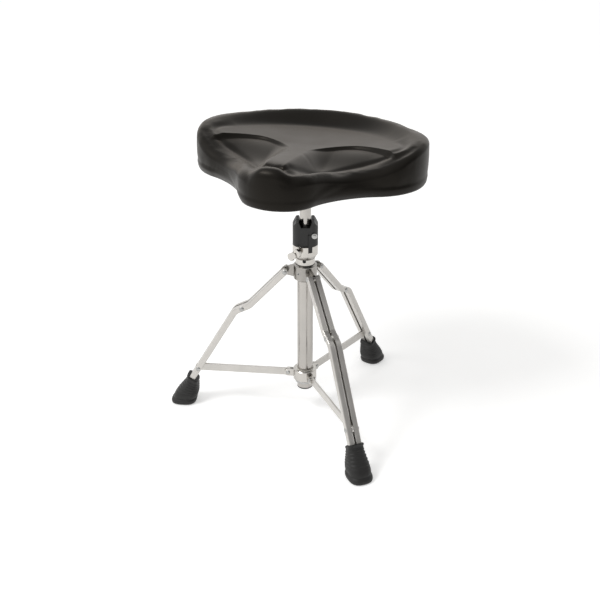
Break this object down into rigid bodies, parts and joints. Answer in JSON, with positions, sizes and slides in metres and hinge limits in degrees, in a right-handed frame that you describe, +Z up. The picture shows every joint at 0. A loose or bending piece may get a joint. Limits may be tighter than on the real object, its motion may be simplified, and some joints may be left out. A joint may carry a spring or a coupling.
{
  "type": "drum throne",
  "caption": "Padded saddle seat that swivels on a telescoping post, carried by a folding tripod of double-strip legs with flat stays and rubber boots.",
  "frame": {"origin": "middle of the footprint, on the floor; the column axis stands at X 0.0315 m, Y -0.0285 m", "axes": "+Z up; the seat faces -Y, with +X to the right seen from the front"},
  "size_m": [0.5082, 0.4998, 0.598],
  "materials": {
    "tube_chrome": "bright chromium plate on drawn steel tube",
    "leg_chrome": "chromium plate on pressed steel strip",
    "cast_chrome": "chromium plate on die casting",
    "bracket_steel": "black powder coat",
    "zinc_steel": "zinc-plated steel",
    "black_steel": "black oxide",
    "black_casting": "satin black coat on die casting",
    "black_plastic": "moulded polyethylene",
    "nylon": "natural nylon",
    "rubber": "moulded black rubber",
    "plywood": "birch plywood",
    "dust_cloth": "black non-woven cloth",
    "vinyl": "black satin vinyl over moulded foam"
  },
  "bodies": {
    "base": {"centre_tube": "tube_chrome", "tube_plug": "black_plastic", "stop_ring": "zinc_steel", "leg_hub": "cast_chrome", "hub_pin": "zinc_steel", "receiver": "cast_chrome", "receiver_bushing": "nylon", "receiver_screw": "black_steel", "lock_front": "black_casting", "lock_back": "black_casting", "lock_pin": "black_steel", "lock_screw": "zinc_steel"},
    "leg_1": {"leg_1_strip_left": "leg_chrome", "leg_1_strip_right": "leg_chrome", "leg_1_pivot_rivet": "zinc_steel", "leg_1_knee_rivet": "zinc_steel", "leg_1_stay_rivets": "zinc_steel", "leg_1_bushes": "nylon", "boot_1": "rubber"},
    "leg_2": {"leg_2_strip_left": "leg_chrome", "leg_2_strip_right": "leg_chrome", "leg_2_pivot_rivet": "zinc_steel", "leg_2_knee_rivet": "zinc_steel", "leg_2_stay_rivets": "zinc_steel", "leg_2_bushes": "nylon", "boot_2": "rubber"},
    "leg_3": {"leg_3_strip_left": "leg_chrome", "leg_3_strip_right": "leg_chrome", "leg_3_pivot_rivet": "zinc_steel", "leg_3_knee_rivet": "zinc_steel", "leg_3_stay_rivets": "zinc_steel", "leg_3_bushes": "nylon", "boot_3": "rubber"},
    "collar": {"stay_collar": "cast_chrome", "collar_liner": "nylon", "collar_rivets": "zinc_steel"},
    "stay_1": {"stay_1": "leg_chrome"},
    "stay_2": {"stay_2": "leg_chrome"},
    "stay_3": {"stay_3": "leg_chrome"},
    "post": {"seat_rod": "tube_chrome"},
    "seat": {"seat_bracket": "bracket_steel", "bracket_bushing": "nylon", "seat_board": "plywood", "underside_cloth": "dust_cloth", "seat_cushion": "vinyl", "seat_bolts": "zinc_steel", "tee_nuts": "zinc_steel"},
    "receiver_wing": {"receiver_wing": "cast_chrome", "receiver_wing_screw": "zinc_steel"},
    "bracket_wing": {"bracket_wing": "cast_chrome", "bracket_wing_screw": "zinc_steel"}
  },
  "joints": [
    {"name": "leg_1_fold", "type": "hinge", "parent": "base", "child": "leg_1", "pos_m": [0.04072, 0.00904, 0.3198], "axis": [-0.9553, 0.2957, 0], "range_deg": [0, 34]},
    {"name": "leg_2_fold", "type": "hinge", "parent": "base", "child": "leg_2", "pos_m": [-0.00922, -0.03721, 0.3198], "axis": [0.2215, -0.9751, 0], "range_deg": [0, 34]},
    {"name": "leg_3_fold", "type": "hinge", "parent": "base", "child": "leg_3", "pos_m": [0.0558, -0.05734, 0.3198], "axis": [0.7337, 0.6794, 0], "range_deg": [0, 34]},
    {"name": "collar_slide", "type": "slide", "parent": "base", "child": "collar", "axis": [0, 0, 1], "range_m": [0, 0.12165]},
    {"name": "stay_1_fold", "type": "hinge", "parent": "collar", "child": "stay_1", "pos_m": [0.03945, 0.00494, 0.0884], "axis": [-0.9553, 0.2957, 0], "range_deg": [0, 81.18]},
    {"name": "stay_2_fold", "type": "hinge", "parent": "collar", "child": "stay_2", "pos_m": [-0.00503, -0.03625, 0.0884], "axis": [0.2215, -0.9751, 0], "range_deg": [0, 81.18]},
    {"name": "stay_3_fold", "type": "hinge", "parent": "collar", "child": "stay_3", "pos_m": [0.05288, -0.05418, 0.0884], "axis": [0.7337, 0.6794, 0], "range_deg": [0, 81.18]},
    {"name": "height_adjust", "type": "slide", "parent": "base", "child": "post", "axis": [0, 0, 1], "range_m": [-0.04, 0.08]},
    {"name": "seat_swivel", "type": "hinge", "parent": "post", "child": "seat", "pos_m": [0.0291, -0.0285, 0.515], "axis": [0, 0, 1], "continuous": true},
    {"name": "receiver_wing_turn", "type": "hinge", "parent": "base", "child": "receiver_wing", "pos_m": [0.02023, -0.05716, 0.366], "axis": [-0.2957, -0.9553, 0], "range_deg": [0, 450]},
    {"name": "bracket_wing_turn", "type": "hinge", "parent": "seat", "child": "bracket_wing", "pos_m": [0.01304, -0.00556, 0.487], "axis": [-0.5736, 0.8192, 0], "range_deg": [0, 450]}
  ],
  "couplings": [
    {"joint": "leg_2_fold", "follows": "leg_1_fold", "ratio": 1},
    {"joint": "leg_3_fold", "follows": "leg_1_fold", "ratio": 1},
    {"joint": "collar_slide", "follows": "leg_1_fold", "m_per_rad": 0.205},
    {"joint": "stay_1_fold", "follows": "leg_1_fold", "ratio": 2.3877},
    {"joint": "stay_2_fold", "follows": "leg_1_fold", "ratio": 2.3877},
    {"joint": "stay_3_fold", "follows": "leg_1_fold", "ratio": 2.3877}
  ]
}
